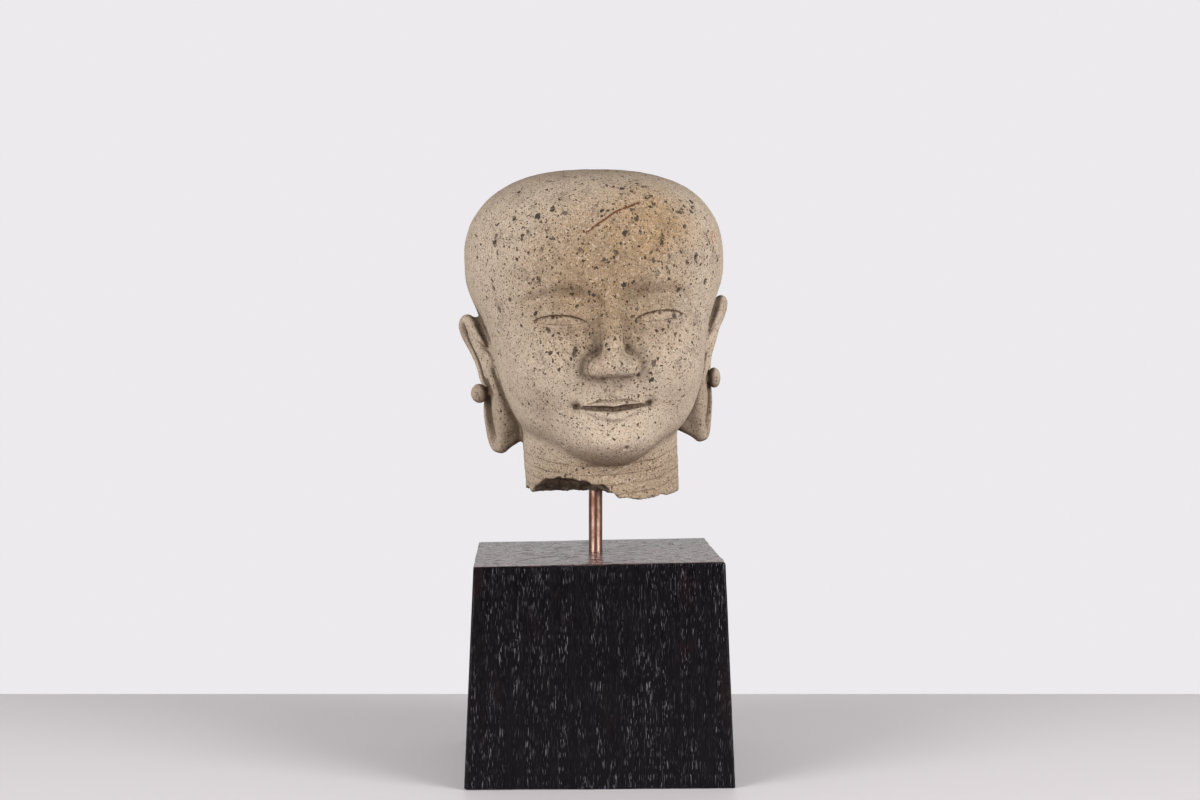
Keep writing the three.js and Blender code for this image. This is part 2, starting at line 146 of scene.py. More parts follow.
def skull(p):
    x, y, z = p
    m = (np.abs(x), y, z)
    above = z > SKULL_MIDDLE[2]
    # The crown slopes down a little towards +x and has a fuller shoulder on the other side
    fuller = 0.65 * bell(x + 21, 13) * ramp(z - 30, 14)
    crown = (x, y, z + (0.012 * x - fuller) * above)
    upper = square_ellipsoid(crown, SKULL_MIDDLE, (44.6, 46, 30.9), 2.15, 2.42)
    lower = square_ellipsoid(p, SKULL_MIDDLE, (44.6, 46, 30.5), 2.15, 2.3)
    f = np.where(above, upper, lower)
    f = smooth_union(f, ellipsoid(p, (0, -6.5, -10), (36, 35.5, 35.5)), 12)
    f = smooth_union(f, ellipsoid(m, (10.5, -9, -25), (19.5, 25, 20.5)), 8)
    f = smooth_union(f, ellipsoid(p, (0, 14, -2), (36, 33, 34)), 10)
    f = smooth_union(f, ellipsoid(p, (0, -24, -37.5), (16, 17.5, 13)), 7)
    return smooth_union(f, ellipsoid(m, (17, -27, -14), (13, 13.5, 13)), 8)


NECK_SHIFT_X = -0.9
NECK_RADIUS_X = 26.6
NECK_RADIUS_Y = 27


def neck(p):
    x, y, z = p
    across = np.sqrt(((x - NECK_SHIFT_X) / NECK_RADIUS_X) ** 2 + ((y - 1) / NECK_RADIUS_Y) ** 2)
    side = (across - 1) * NECK_RADIUS_X - 0.25 * bell(z + 40, 8)
    return np.maximum(side, z + 20)


def nose_bridge(p):
    return tapered_bar(p, (0, -39.9, 8), (0, -46.4, -14), 2.7, 3.9)


def nose_tip(p):
    x, y, z = p
    tip = ellipsoid(p, (0, -47.4, -16.4), (5.2, 4.9, 4.6))
    wings = ellipsoid((np.abs(x), y, z), (4.9, -43.6, -17.2), (3.7, 5.4, 3.8))
    return smooth_union(tip, wings, 3.4)


# Carving on the face, as a height out of the surface

EYE_X = 16.4
EYE_HALF = 8.4
MOUTH_HALF = 12


def lid_edges(s):
    """Heights of the upper and the lower lid's edge, where s runs from -1 to 1 across an eye."""
    k = np.maximum(1 - s * s, 0)
    return -1.6 + 2.1 * k ** 0.75 + 0.5 * s, -1.6 - 1.1 * k ** 0.9 + 0.5 * s


def eye_relief(x, z):
    side = np.abs(x)
    s = (side - EYE_X) / EYE_HALF
    k = np.maximum(1 - s * s, 0)
    upper_lid, lower_lid = lid_edges(s)
    hollow = 2.3 * bell(side - 10.5, 5.5) * bell(z - 3, 4.6) + bell(side - 19, 9) * bell(z - 5.4, 3)
    ball = np.maximum(1 - ((side - EYE_X) / 12.6) ** 2 - ((z + 0.6) / 7.4) ** 2, 0) ** 1.7
    lid_slope = np.maximum(1 - np.maximum(z - upper_lid, 0) / 3, 0)
    lid_edge = ramp(z - upper_lid, 0.3) * lid_slope * np.minimum(k * 2, 1)
    opening = ramp(upper_lid - z, 0.35) * ramp(z - lower_lid, 0.35) * np.minimum(k * 3, 1)
    return 2.9 * ball + 0.5 * lid_edge - hollow - 0.7 * opening


def brow_relief(x, z):
    side = np.abs(x)
    line = 11.4 - 0.021 * (side - 15.5) ** 2
    fade = ramp(side - 4, 4) * ramp(29 - side, 6)
    return 0.55 * fade * (bell(z - line, 3) - bell(z - line + 4, 2.4))


def mouth_relief(x, z):
    side = np.abs(x)
    a = np.minimum(side / MOUTH_HALF, 1)
    line = -30.6 + a ** 2 - 0.35 * bell(x, 2)
    upper_height = np.maximum(3.5 * (1 - a ** 1.6) - 0.7 * bell(x, 1.7), 0.05)
    lower_height = np.maximum(4.5 * (1 - a ** 2.1), 0.05)
    up = np.clip((z - line) / upper_height, 0, 1)
    down = np.clip((line - z) / lower_height, 0, 1)
    upper_lip = 1.5 * np.abs(np.sin(np.pi * up ** 0.8)) ** 0.9
    lower_lip = 1.8 * np.abs(np.sin(np.pi * down ** 0.72)) ** 0.9
    lips = np.where(z > line, upper_lip, lower_lip) * (1 - a ** 2.6)
    parting = 1.1 * bell(z - line, 0.6) * ramp(1.05 - side / MOUTH_HALF, 0.07)
    corners = bell(side - MOUTH_HALF - 0.3, 2.0) * bell(z + 29.6, 1.8)
    philtrum = 0.7 * bell(x, 1.6) * ramp(z + 26.6, 1) * ramp(-21 - z, 1.5)
    chin_fold = 1.3 * bell(z + 37.8, 2) * bell(x, 9.5)
    return lips - parting - corners - philtrum - chin_fold


# Ears, each with a bead on its outer edge and a long slotted lobe

EAR_ROOT_X = 35.2
EAR_ROOT_Y = -0.5
EAR_TURN = math.radians(14)
LOBE_TURN = math.radians(14)  # further, about the back edge of the lobe
LOBE_BACK = 10.4  # from the front of the ear


def ear(p):
    x, y, z = p
    cos, sin = math.cos(EAR_TURN), math.sin(EAR_TURN)
    s = (x - EAR_ROOT_X) * sin + (y - EAR_ROOT_Y) * cos
    flare = 0.02 * (z + 40) + 5.9 * ramp(z + 6.2, 9.5)
    n = (x - EAR_ROOT_X) * cos - (y - EAR_ROOT_Y) * sin - flare
    q = (s, z, n)
    around = np.arctan2((z + 9.5) / 12.6, (s - 7.4) / 8.2)
    rim_radius = 1.75 + 0.45 * np.sin(around) + 0.15 * np.cos(around)
    rim_gap = 4 * ramp(4.5 - s, 3) * ramp(-8 - z, 4)
    rim = oval_ring(q, (7.4, -9.5, 0.6), 8.2, 12.6, rim_radius) + rim_gap
    fold = oval_ring(q, (6.8, -10, 0.4), 4.6, 8.2, 1.35) + 4 * ramp(5.2 - s, 2)
    plate = ellipsoid(q, (7, -10, -1.9), (9.2, 14.2, 3))
    f = smooth_union(plate, smooth_union(rim, fold, 0.5), 0.9)
    f = smooth_cut(f, ellipsoid(q, (4.4, -10, 2), (2.9, 4.4, 3)), 1)
    f = smooth_union(f, ellipsoid(q, (0.6, -11.4, 0.5), (1.8, 3, 1.6)), 1)
    back = s - LOBE_BACK
    lobe_cos, lobe_sin = math.cos(LOBE_TURN), math.sin(LOBE_TURN)
    r = (LOBE_BACK + back * lobe_cos + n * lobe_sin, z, n * lobe_cos - back * lobe_sin)
    lobe = ellipsoid(r, (6.2, -32.5, -1.2), (5.8, 13.2, 3))
    lobe = smooth_union(lobe, oval_ring(r, (6.2, -33, 0.3), 4.2, 10.4, 1.9), 1.2)
    f = smooth_union(f, lobe, 1.5)
    f = smooth_union(f, ellipsoid(p, (34.5, 6.5, -7), (6, 6.5, 10)), 2)
    f = smooth_union(f, tapered_bar(p, (42.2, 2, 0.6), (34.8, 1.2, -24), 2.9, 2), 1.5)
    f = smooth_union(f, ellipsoid(p, (29.5, 6.2, -30), (9.5, 6, 11)), 3.5)
    f = smooth_union(f, tapered_bar(p, (34.6, 4.8, -42.6), (28, 5.4, -39), 2.5, 2.5), 2)
    return smooth_cut(f, ellipsoid(r, (6.5, -32.5, 2.7), (2.2, 9, 3.7)), 0.7)


# The two ears differ a little in height and in how far the bead stands out
EARS = (
    {"side": 1, "drop": 0, "bead_place": 40.4, "bead_half": 2.5},
    {"side": -1, "drop": 2.5, "bead_place": 41.4, "bead_half": 3.1},
)


def ear_with_bead(p, kind):
    """An ear with the bead on its outer edge, its top lowered by the drop."""
    x, y, z = p
    q = (x, y, z + kind["drop"] * np.clip((z + 50) / 52, 0, 1))
    bead = ellipsoid(q, (kind["bead_place"], 4.5, -23.5), (kind["bead_half"], 3.1, 3.75))
    return smooth_union(ear(q), bead, 0.4)


# The broken underside, its chips and the bore for the rod

CHIPS = (
    {"centre": (-14.5, -18, -62.5), "radii": (17.5, 15, 8.7), "roughness": 0.06},
    {"centre": (-29.5, -5, -62.5), "radii": (5, 16, 5.8), "roughness": 0.06},
)


def below_break(p):
    """Positive below the broken face."""
    x, y, z = p
    ridge_left = -60.5 - 0.16 * x
    ridge_right = -62.1 + 0.18 * (x - 9.5)
    flat = -61.2 + 0.05 * (y + 26)
    rough = 0.3 * np.sin(0.9 * x + 0.4 * y) * np.sin(0.7 * y - 0.3 * x)
    grain = 0.14 * np.sin(2.3 * x + 1.1 * y) * np.sin(2.9 * y - 1.7 * x)
    height = np.minimum(flat, np.maximum(ridge_left, ridge_right)) + rough + grain - math.tan(LEAN) * x
    return height - z


def chip(p, centre, radii, roughness):
    x, y, z = p
    swell = 1 - roughness * np.sin(0.8 * x + 0.5) * np.cos(0.9 * y + 0.6 * z)
    swell = swell - 0.3 * roughness * np.sin(2.1 * x) * np.cos(2.4 * z + 1.3 * y)
    return ellipsoid(p, centre, radii) - (swell - 1) * min(radii)


def rod_bore(p):
    world_to_head = head_matrix.inverted()
    mouth = world_to_head @ Vector((0, 0, 0))
    tip = world_to_head @ Vector((0, 0, PLINTH_HEIGHT + ROD_SHOWN + ROD_IN_HEAD + ROD_CLEARANCE))
    a, b = mouth / UNIT, tip / UNIT
    along = (b - a).normalized()
    off = [p[i] - a[i] for i in range(3)]
    t = sum(off[i] * along[i] for i in range(3))
    distance = np.sqrt(np.maximum(sum(d * d for d in off) - t * t, 0))
    radius = (ROD_DIAMETER / 2 + ROD_CLEARANCE) / UNIT
    return np.maximum(distance - radius, t - (b - a).length)


def stone(p):
    """The whole carved stone."""
    x, y, z = p
    f = smooth_union(skull(p), nose_bridge(p), 4)
    f = smooth_union(f, nose_tip(p), 2)
    f = smooth_union(f, neck(p), 2.5)
    relief = eye_relief(x, z) + brow_relief(x, z) + mouth_relief(x, z)
    f = f - relief * ramp(-y - 20, 6)
    f = smooth_cut(f, ellipsoid((np.abs(x), y, z), (3.3, -46.6, -21.5), (1.8, 2.8, 1.3)), 0.5)
    for kind in EARS:
        side = kind["side"]
        near = np.flatnonzero((side * x > 15) & (z < 12))
        q = (side * x[near], y[near], z[near])
        f[near] = smooth_union(f[near], ear_with_bead(q, kind), 1.2)
    f = -smooth_union(-f, -below_break(p), 0.35)
    for cut in CHIPS:
        f = smooth_cut(f, chip(p, **cut), 0.3)
    return np.maximum(f, -rod_bore(p))


# Meshing

def graded_lines(*spans):
    """Grid lines along one axis: each span is (end, step), and the first is the start."""
    lines = [spans[0][0]]
    for end, step in spans[1:]:
        count = max(1, round((end - lines[-1]) / step))
        lines.extend(np.linspace(lines[-1], end, count + 1)[1:])
    return np.array(lines, dtype=np.float64)


BLOCK = 5


def sample_near_surface(field, lines):
    """The field at every grid node near its surface, and just its sign further off."""
    nx, ny, nz = (len(line) for line in lines)
    values = np.empty((nx, ny, nz), dtype=np.float32)
    starts = [np.arange(0, len(line), BLOCK) for line in lines]
    low = [line[start] for line, start in zip(lines, starts)]
    high = [line[np.minimum(start + BLOCK, len(line) - 1)] for line, start in zip(lines, starts)]
    centre = [(a + b) / 2 for a, b in zip(low, high)]
    half = [(b - a) / 2 for a, b in zip(low, high)]
    grid = np.meshgrid(*centre, indexing="ij")
    reach = np.sqrt(sum(h ** 2 for h in np.meshgrid(*half, indexing="ij")))
    coarse = field([axis.ravel() for axis in grid]).reshape(grid[0].shape)
    near = np.abs(coarse) < 1.5 * reach + 1.0
    block_of = [np.arange(len(line)) // BLOCK for line in lines]
    spread = np.ix_(*block_of)
    values[...] = coarse[spread]
    i, j, k = np.nonzero(near[spread])
    values[i, j, k] = field([lines[0][i], lines[1][j], lines[2][k]])
    return values


def field_slope(field, points):
    gap = 0.06
    slope = np.empty_like(points)
    for axis in range(3):
        shift = np.zeros(3)
        shift[axis] = gap
        slope[:, axis] = (field(list((points + shift).T)) - field(list((points - shift).T))) / (2 * gap)
    return slope


def drawn_to_surface(field, points, low, high):
    """The points moved on to the surface, each kept well inside its own cell."""
    margin = 0.08 * (high - low)
    for _ in range(2):
        slope = field_slope(field, points)
        move = field(list(points.T)) / np.maximum((slope ** 2).sum(1), 0.3)
        points = np.clip(points - slope * move[:, None], low + margin, high - margin)
    return points


def quads_across(inside, number):
    """A quad between four neighbouring cells' points wherever the surface crosses a grid line."""
    quads = []
    for axis in range(3):
        u, v = (axis + 1) % 3, (axis + 2) % 3
        first = [slice(1, -1)] * 3
        second = [slice(1, -1)] * 3
        first[axis] = slice(0, -1)
        second[axis] = slice(1, None)
        change = inside[tuple(first)] != inside[tuple(second)]
        at = list(np.nonzero(change))
        for n in (u, v):
            at[n] = at[n] + 1
        start_inside = inside[tuple(at)]

        def neighbour(du, dv):
            index = list(at)
            index[u] = index[u] - du
            index[v] = index[v] - dv
            return number[tuple(index)]

        quad = np.stack([neighbour(1, 1), neighbour(0, 1), neighbour(0, 0), neighbour(1, 0)], 1)
        quad[~start_inside] = quad[~start_inside][:, ::-1]
        quads.append(quad)
    return np.concatenate(quads)


def net(field, lines):
    """A closed net around a field's stone: one point in each cell that the surface crosses."""
    values = sample_near_surface(field, lines)
    inside = values < 0
    corners = [(a, b, c) for a in (0, 1) for b in (0, 1) for c in (0, 1)]
    shape = tuple(n - 1 for n in values.shape)

    def corner(array, offset):
        return array[tuple(slice(o, o + n) for o, n in zip(offset, shape))]

    count = sum(corner(inside, offset).astype(np.int8) for offset in corners)
    i, j, k = np.nonzero((count > 0) & (count < 8))
    cell = (i, j, k)
    place = [[line[index + o] for o in (0, 1)] for line, index in zip(lines, cell)]
    total = np.zeros((len(i), 3))
    crossings = np.zeros(len(i))
    for offset in corners:
        for axis in range(3):
            if offset[axis]:
                continue
            other = tuple(1 if n == axis else o for n, o in enumerate(offset))
            a = values[tuple(index + o for index, o in zip(cell, offset))]
            b = values[tuple(index + o for index, o in zip(cell, other))]
            crossed = (a < 0) != (b < 0)
            t = np.where(crossed, a / np.where(crossed, a - b, 1), 0)
            for n in range(3):
                start = place[n][offset[n]]
                end = place[n][other[n]]
                total[:, n] += crossed * (start + (end - start) * t)
            crossings += crossed
    points = total / crossings[:, None]
    low = np.stack([axis[0] for axis in place], 1)
    high = np.stack([axis[1] for axis in place], 1)
    number = np.full(shape, -1, dtype=np.int64)
    number[cell] = np.arange(len(i))
    return drawn_to_surface(field, points, low, high), quads_across(inside, number)


# Finish of the carved surface, in the same hundredths

def waves(points, size, seed):
    """Gentle unevenness between -1 and 1 at about the given size."""
    random = np.random.default_rng(seed)
    total = np.zeros(len(points))
    for _ in range(7):
        direction = random.normal(size=3)
        direction *= 2 * math.pi / size * random.uniform(0.6, 1.5) / np.linalg.norm(direction)
        total += np.sin(points @ direction + random.uniform(0, 2 * math.pi))
    return total / 3.5


NECK_LINES = (-50.2, -53.4, -56.9, -60.2)
NECK_LINE_RISE = 4.8  # of each line from the front to the sides


def neck_level(points):
    """Height on the neck, measured along its incised lines, which sag to the front."""
    x, y, z = points.T
    forward = np.clip(-(y - 1) / NECK_RADIUS_Y, 0, 1)
    off_neck = np.sqrt(((x - NECK_SHIFT_X) / NECK_RADIUS_X) ** 2 + ((y - 1) / NECK_RADIUS_Y) ** 2)
    level = z - NECK_LINE_RISE * (1 - forward ** 1.4) + 0.35 * waves(points, 14, 5)
    return level + 20 * ramp(off_neck - 1.12, 0.05)


SCRATCH = ((-7, 26.5), (3.7, 33.3), (12, 36))  # x and z of its ends and its bend, on the forehead


def off_scratch(points):
    """Distance in front view from the scratch, and 3 well away from it or behind the forehead."""
    across = points[:, (0, 2)]
    nearest = np.full(len(points), 3.0)
    for start, end in zip(SCRATCH, SCRATCH[1:]):
        along = np.subtract(end, start)
        t = np.clip((across - start) @ along / (along @ along), 0, 1)
        off = np.linalg.norm(across - start - t[:, None] * along, axis=1)
        nearest = np.minimum(nearest, off)
    return np.where(points[:, 1] < 0, nearest, 3)


def off_lid(points):
    """Distance in front view from the carved edge of an eyelid, and 3 well away from the eyes."""
    x, y, z = points.T
    s = (np.abs(x) - EYE_X) / EYE_HALF
    upper_lid, lower_lid = lid_edges(s)
    nearest = np.minimum(np.abs(z - upper_lid), np.abs(z - lower_lid) + 0.12)
    away = np.maximum(np.abs(s) - 1, 0) * EYE_HALF
    return np.where(y < -20, np.minimum(nearest + 0.35 * away, 3), 3)


def scattered_pits(points, count, seed):
    """Middles and sizes of open pits: most on the upper left side of the forehead, fewer elsewhere."""
    random = np.random.default_rng(seed)
    x, y, z = points.T
    forehead = (bell(x - 16, 22) * bell(z - 22, 18) + 3 * bell(x - 24, 9) * bell(z - 29, 9)) * (y < 0)
    cheeks = 0.6 * bell(x, 30) * bell(z + 14, 26) * (y < 0)
    weight = 0.16 + forehead + cheeks
    chosen = random.choice(len(points), count, replace=False, p=weight / weight.sum())
    return points[chosen], 0.3 + 0.75 * random.random(count) ** 2.5


def nearest_pit(points, middles, sizes, stretch):
    """How far each point is from a pit's middle, as a share of that pit's size, up to 3."""
    near = np.full(len(points), 3.0)
    size_there = np.full(len(points), 0.3)
    for middle, size in zip(middles, sizes):
        reach = 3 * size * stretch
        close = np.flatnonzero(np.abs(points - middle).max(1) < reach)
        off = (points[close] - middle) / (1, 1, stretch)
        distance = np.linalg.norm(off, axis=1) / size
        nearer = distance < near[close]
        near[close[nearer]] = distance[nearer]
        size_there[close[nearer]] = size
    return near, size_there


def crevice(points, normals):
    """How shut in each point is, from 0 in the open to 1: the field grows slowly where stone is near."""
    total = np.zeros(len(points))
    for reach in (1.5, 3.5, 7):
        open_there = stone(list((points + normals * reach).T)) / reach
        total += np.clip(1 - open_there, 0, 1)
    return total / 3


def on_break(points):
    """1 on the broken faces under the neck, and 0 on the carved surface."""
    p = list(points.T)
    cut = -below_break(p)
    for shape in CHIPS:
        cut = np.minimum(cut, chip(p, **shape))
    return ramp(0.45 - cut, 0.35)


# Objects

def mesh_object(name, points, faces):
    mesh = bpy.data.meshes.new(name)
    mesh.from_pydata(points, [], faces)
    mesh.update()
    obj = bpy.data.objects.new(name, mesh)
    bpy.context.scene.collection.objects.link(obj)
    return obj


def shade_smooth(obj):
    obj.data.polygons.foreach_set("use_smooth", [True] * len(obj.data.polygons))


def apply_modifiers(obj):
    graph = bpy.context.evaluated_depsgraph_get()
    mesh = bpy.data.meshes.new_from_object(obj.evaluated_get(graph))
    old = obj.data
    obj.modifiers.clear()
    obj.data = mesh
    bpy.data.meshes.remove(old)


def set_attribute(obj, name, values):
    attribute = obj.data.attributes.new(name, "FLOAT", "POINT")
    attribute.data.foreach_set("value", np.asarray(values, dtype=np.float32))


HEAD_TRIANGLES = 192000
FACE_CELL = 0.5  # of the net, in hundredths of the head's height
PIT_STRETCH = 1.25
PIT_COUNT = 420
PIT_DEPTH = 0.55  # as a share of the pit's size
NECK_LINE_DEPTH = 0.16
SKIN_DEPTH = 0.24  # how far inside the solids the surface lies, waves apart


def inward_finish(points, middles, sizes):
    """How far inside the plain carving the finished surface lies, with its pits, neck lines and waves."""
    near, size_there = nearest_pit(points, middles, sizes, PIT_STRETCH)
    level = neck_level(points)
    lines_there = sum(bell(level - line, 0.5) for line in NECK_LINES)
    inward = PIT_DEPTH * size_there * np.clip(1.3 - near, 0, 1) + NECK_LINE_DEPTH * lines_there
    inward += SKIN_DEPTH + 0.10 * waves(points, 22, 1) + 0.05 * waves(points, 7, 2)
    return inward + on_break(points) * (0.12 * waves(points, 3.2, 3) + 0.08 * waves(points, 1.7, 4))


def surface_normals(points):
    slope = field_slope(stone, points)
    return slope / np.maximum(np.linalg.norm(slope, axis=1), 1e-6)[:, None]


def mark_head(head, points, middles, sizes):
    """Keeps with each point of the head what its material asks about it."""
    near, _ = nearest_pit(points, middles, sizes, PIT_STRETCH)
    set_attribute(head, "pit", near)
    set_attribute(head, "crevice", crevice(points, surface_normals(points)))
    set_attribute(head, "broken", on_break(points))
    set_attribute(head, "neck_level", neck_level(points))
    set_attribute(head, "scratch", off_scratch(points))
    set_attribute(head, "lid", off_lid(points))


def make_head():
    fine = FACE_CELL * 1
    lines = (
        graded_lines((-51, 0), (-31, 1.4 * fine), (31, fine), (51, 1.4 * fine)),
        graded_lines((-57, 0), (-26, 1.2 * fine), (-7, 2.2 * fine), (24, 1.5 * fine), (50, 2.4 * fine)),
        graded_lines((-66, 0), (-48, 1.3 * fine), (44, fine), (53, 1.6 * fine)),
    )
    points, quads = net(stone, lines)
    middles, sizes = scattered_pits(points, PIT_COUNT, 11)
    inward = inward_finish(points, middles, sizes)
    points = points - surface_normals(points) * inward[:, None]
    place = np.array(head_matrix)
    placed = points * UNIT @ place[:3, :3].T + place[:3, 3]
    head = mesh_object("head_stone", placed.tolist(), quads.tolist())
    if 2 * len(quads) > HEAD_TRIANGLES:
        reduce = head.modifiers.new("reduce", "DECIMATE")
        reduce.ratio = HEAD_TRIANGLES / (2 * len(quads))
        apply_modifiers(head)
    shade_smooth(head)

    kept = np.empty(len(head.data.vertices) * 3)
    head.data.vertices.foreach_get("co", kept)
    mark_head(head, (kept.reshape(-1, 3) - place[:3, 3]) @ place[:3, :3] / UNIT, middles, sizes)
    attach(head, "root")
    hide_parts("head")
    return head


# The rod and the plinth

ROD_CHAMFER = 0.0006
ROD_SIDES = 72
ROD_RINGS = 120
DENT_DEPTH = 0.00002


def make_rod():
    """A drawn rod with chamfered ends and slight dents all over."""
    low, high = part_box("rod")
    heights = [low.z, *np.linspace(low.z + ROD_CHAMFER, high.z - ROD_CHAMFER, ROD_RINGS), high.z]
    rings = []
    for height in heights:
        radius = ROD_DIAMETER / 2 - (ROD_CHAMFER if height in (low.z, high.z) else 0)
        for side in range(ROD_SIDES):
            angle = 2 * math.pi * side / ROD_SIDES
            dent = DENT_DEPTH * (2 + math.sin(3 * angle + 90 * height) * math.sin(160 * height))
            reach = radius - dent
            rings.append((reach * math.cos(angle), reach * math.sin(angle), height))
    faces = []
    for ring in range(len(heights) - 1):
        for side in range(ROD_SIDES):
            a = ring * ROD_SIDES + side
            b = ring * ROD_SIDES + (side + 1) % ROD_SIDES
            faces.append((a, b, b + ROD_SIDES, a + ROD_SIDES))
    last = (len(heights) - 1) * ROD_SIDES
    faces.append(tuple(reversed(range(ROD_SIDES))))
    faces.append(tuple(range(last, last + ROD_SIDES)))
    rod = mesh_object("rod_metal", rings, faces)
    rod.data.polygons.foreach_set("use_smooth", [len(face) == 4 for face in faces])
    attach(rod, "root")
    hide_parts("rod")
    return rod


EDGE_RADIUS = 0.0016
BLOCK_CELL = 0.004
FINE_STRIP = 1.8 * EDGE_RADIUS  # along each edge, with a finer grid
SIDE_HOLLOW = 0.00012  # how far the sides are worn in, waves apart
BORE_SIDES = 48


def block_points(p):
    """Points of a cube's skin, -1 to 1 each way, brought to the worn and tapered block."""
    half = np.array((PLINTH_BOTTOM_WIDTH, PLINTH_BOTTOM_WIDTH, PLINTH_HEIGHT)) / 2
    flat = p * half
    long_wear = 0.55 * np.clip(waves(flat, 0.05, 21), -1, 1)
    short_wear = 0.25 * np.clip(waves(flat, 0.013, 22), -1, 1)
    radius = (EDGE_RADIUS * np.maximum(1 + long_wear + short_wear, 0.25))[:, None]
    inner = np.clip(flat, -(half - radius), half - radius)
    out = flat - inner
    length = np.maximum(np.linalg.norm(out, axis=1, keepdims=True), 1e-9)
    eased = inner + out / length * np.minimum(length, radius)
    hollow = SIDE_HOLLOW + 0.00010 * np.clip(waves(flat, 0.12, 23), -1, 1)
    eased = eased - p * (np.abs(p) > 0.999) * hollow[:, None]
    up = eased[:, 2] / PLINTH_HEIGHT + 0.5
    width = PLINTH_BOTTOM_WIDTH + (PLINTH_TOP_WIDTH - PLINTH_BOTTOM_WIDTH) * up
    x = eased[:, 0] * width / PLINTH_BOTTOM_WIDTH
    y = eased[:, 1] * width / PLINTH_BOTTOM_WIDTH
    z = eased[:, 2] + PLINTH_HEIGHT / 2 + up * (PLINTH_TOP_RISE * x / PLINTH_TOP_WIDTH)
    return np.stack((x, y, z), 1)


def cut_bore(block):
    """Cuts the bore for the rod out of the block's top."""
    radius = ROD_DIAMETER / 2 + ROD_CLEARANCE
    shape = bmesh.new()
    bmesh.ops.create_cone(
        shape, cap_ends=True, segments=BORE_SIDES, radius1=radius, radius2=radius,
        depth=2 * (ROD_IN_PLINTH + ROD_CLEARANCE),
    )
    cutter = mesh_object("bore", [], [])
    shape.to_mesh(cutter.data)
    shape.free()
    cutter.location = (0, 0, PLINTH_HEIGHT)
    bpy.context.view_layer.update()
    cut = block.modifiers.new("bore", "BOOLEAN")
    cut.operation = "DIFFERENCE"
    cut.object = cutter
    cut.solver = "EXACT"
    apply_modifiers(block)
    bpy.data.objects.remove(cutter)


def make_plinth():
    """The block, from a grid on each side of a cube, with the bore for the rod cut out."""
    lines = []
    for length in (PLINTH_BOTTOM_WIDTH, PLINTH_BOTTOM_WIDTH, PLINTH_HEIGHT):
        share = 2 * FINE_STRIP / length
        fine = np.linspace(0, share, 5)
        middle = np.linspace(-1 + share, 1 - share, round(length / BLOCK_CELL))
        lines.append(np.concatenate((-1 + fine[:-1], middle, 1 - fine[:-1][::-1])))
    points = []
    faces = []
    for axis in range(3):
        u, v = (axis + 1) % 3, (axis + 2) % 3
        for side in (-1, 1):
            start = len(points)
            for a in lines[u]:
                for b in lines[v]:
                    p = [0, 0, 0]
                    p[axis], p[u], p[v] = side, a, b
                    points.append(p)
            rows, columns = len(lines[u]), len(lines[v])
            for i in range(rows - 1):
                for j in range(columns - 1):
                    a = start + i * columns + j
                    quad = (a, a + columns, a + columns + 1, a + 1)
                    faces.append(quad if side > 0 else tuple(reversed(quad)))
    skin = block_points(np.array(points, dtype=float))
    plinth = mesh_object("plinth_wood", skin.tolist(), faces)
    cleaner = bmesh.new()
    cleaner.from_mesh(plinth.data)
    bmesh.ops.remove_doubles(cleaner, verts=cleaner.verts, dist=1e-6)
    cleaner.to_mesh(plinth.data)
    cleaner.free()
    cut_bore(plinth)
    shade_smooth(plinth)
    plinth.data.set_sharp_from_angle(angle=math.radians(40))
    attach(plinth, "root")
    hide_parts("plinth")
    return plinth


# Materials, in millimetres on the object's own coordinates

